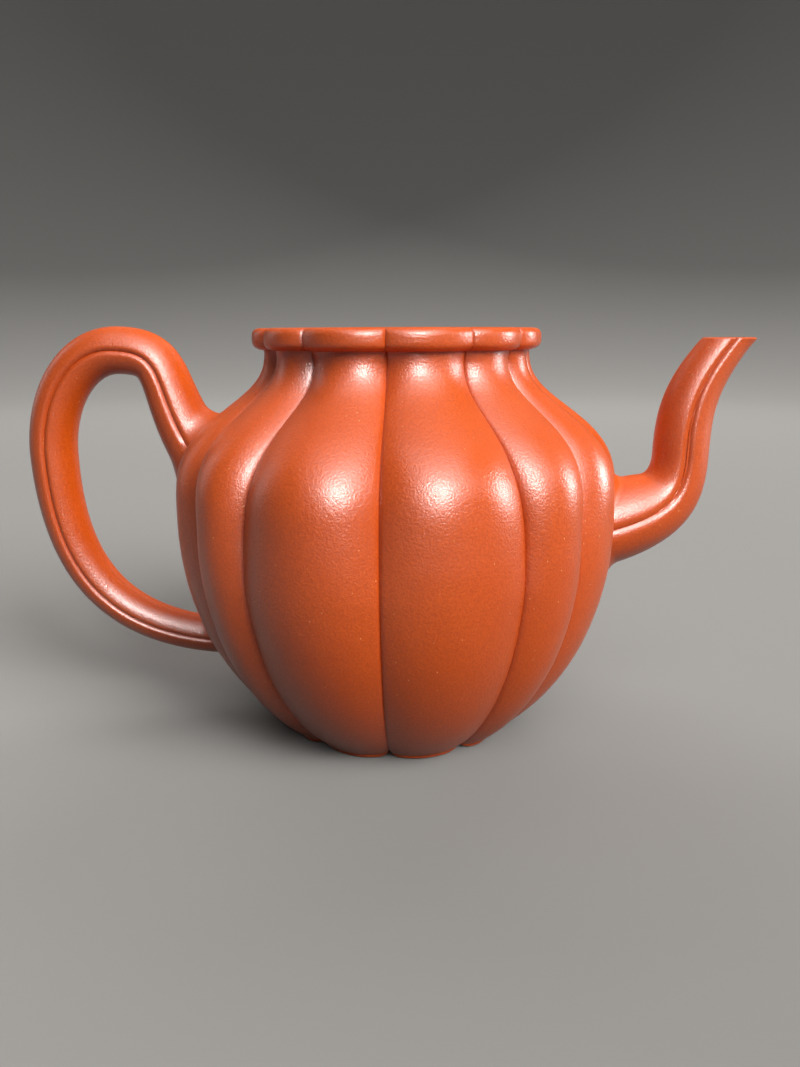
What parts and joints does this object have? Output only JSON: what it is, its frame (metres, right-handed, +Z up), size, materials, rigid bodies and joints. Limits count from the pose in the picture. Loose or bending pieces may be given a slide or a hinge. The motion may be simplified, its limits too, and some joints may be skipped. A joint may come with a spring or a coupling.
{
  "type": "teapot",
  "caption": "Lobed unglazed clay teapot with an S-shaped spout, an ear-shaped handle, a short neck and an open mouth, for brewing and pouring tea.",
  "frame": {"origin": "centre of the standing ring under the pot, on the surface that it stands on", "axes": "+Z up through the mouth, +X towards the spout, the handle along -X"},
  "size_m": [0.1568, 0.0922, 0.0869],
  "materials": {
    "clay": "satin, unglazed"
  },
  "bodies": {
    "root": {"base_disc": "clay", "body_wall": "clay", "shoulder_cap": "clay", "neck_collar": "clay", "lip_ring": "clay", "spout": "clay", "strainer": "clay", "handle": "clay"}
  },
  "joints": []
}
